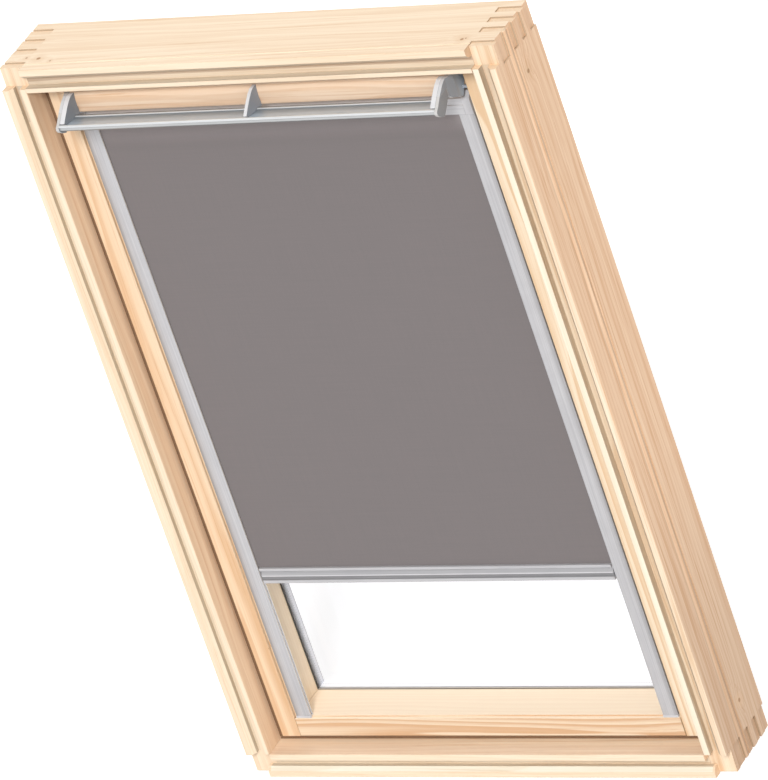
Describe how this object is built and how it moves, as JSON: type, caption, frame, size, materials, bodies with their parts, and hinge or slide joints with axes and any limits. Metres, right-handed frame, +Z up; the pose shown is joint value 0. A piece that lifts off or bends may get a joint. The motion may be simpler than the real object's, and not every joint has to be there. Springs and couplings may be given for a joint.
{
  "type": "roof window with blackout roller blind",
  "caption": "Centre-pivot wooden roof window with a top control bar, ventilation flap and a blackout roller blind half lowered in side channels.",
  "frame": {"origin": "middle of the sill's bottom face, at mid depth of the frame", "axes": "+X to the right seen from the room, +Y out of the room, +Z up along the window from sill to head"},
  "size_m": [0.78, 0.1671, 1.178],
  "materials": {
    "pine": "clear lacquered pine",
    "sash_pine": "clear lacquered pine, warmer",
    "aluminium": "matt anodised",
    "cover_aluminium": "dark grey lacquer",
    "grey_plastic": "fine matt",
    "pale_plastic": "fine matt",
    "blackout_cloth": "woven blackout cloth",
    "glass": "clear",
    "rubber": "matt",
    "spacer_metal": "satin",
    "zinc_steel": "zinc plated",
    "filter_foam": "open foam"
  },
  "bodies": {
    "frame": {"frame_head": "pine", "frame_sill": "pine", "frame_stile_left": "pine", "frame_stile_right": "pine", "pivot_plate_left": "zinc_steel", "pivot_plate_right": "zinc_steel", "striker_plate": "zinc_steel", "seal_head": "rubber", "seal_sill": "rubber", "seal_lower_left": "rubber", "seal_lower_right": "rubber", "seal_upper_left": "rubber", "seal_upper_right": "rubber"},
    "sash": {"sash_top_rail": "sash_pine", "sash_bottom_rail": "sash_pine", "sash_stile_left": "sash_pine", "sash_stile_right": "sash_pine", "inner_pane": "glass", "outer_pane": "glass", "glass_spacer": "spacer_metal", "glazing_gasket": "rubber", "cover_profile_top": "cover_aluminium", "cover_profile_bottom": "cover_aluminium", "cover_profile_left": "cover_aluminium", "cover_profile_right": "cover_aluminium", "sash_pivot_left": "zinc_steel", "sash_pivot_right": "zinc_steel", "lock_case": "zinc_steel", "air_filter": "filter_foam", "blind_cassette": "aluminium", "cassette_end_left": "pale_plastic", "cassette_end_right": "pale_plastic", "side_channel_left": "aluminium", "side_channel_right": "aluminium", "channel_foot_left": "pale_plastic", "channel_foot_right": "pale_plastic", "spring_motor": "zinc_steel"},
    "flap": {"ventilation_flap": "sash_pine", "flap_end_left": "grey_plastic", "flap_end_right": "grey_plastic", "bar_bracket_left": "grey_plastic", "bar_bracket_middle": "grey_plastic", "bar_bracket_right": "grey_plastic", "control_bar": "aluminium", "bar_cap_left": "grey_plastic", "bar_cap_right": "grey_plastic"},
    "bolt": {"lock_bolt": "zinc_steel"},
    "roller": {"roller_tube": "aluminium"},
    "blind_bar": {"bottom_bar": "aluminium", "bar_glide_left": "pale_plastic", "bar_glide_right": "pale_plastic", "blackout_fabric": "blackout_cloth"}
  },
  "joints": [
    {"name": "sash_pivot", "type": "hinge", "parent": "frame", "child": "sash", "pos_m": [0, 0.0213, 0.589], "axis": [1, 0, 0], "range_deg": [0, 160]},
    {"name": "flap_hinge", "type": "hinge", "parent": "sash", "child": "flap", "pos_m": [0, -0.0237, 1.1], "axis": [1, 0, 0], "range_deg": [0, 30]},
    {"name": "bolt_slide", "type": "slide", "parent": "sash", "child": "bolt", "axis": [0, 0, 1], "range_m": [-0.005, 0]},
    {"name": "blind_slide", "type": "slide", "parent": "sash", "child": "blind_bar", "axis": [0, 0, 1], "range_m": [-0.2235, 0.722], "deforming": ["blackout_fabric"]},
    {"name": "roller_turn", "type": "hinge", "parent": "sash", "child": "roller", "pos_m": [0, -0.0071, 1.0746], "axis": [1, 0, 0], "range_deg": [-2840, 880]}
  ],
  "couplings": [
    {"joint": "bolt_slide", "follows": "flap_hinge", "m_per_rad": -0.0095},
    {"joint": "roller_turn", "follows": "blind_slide", "rad_per_m": -68.493}
  ]
}
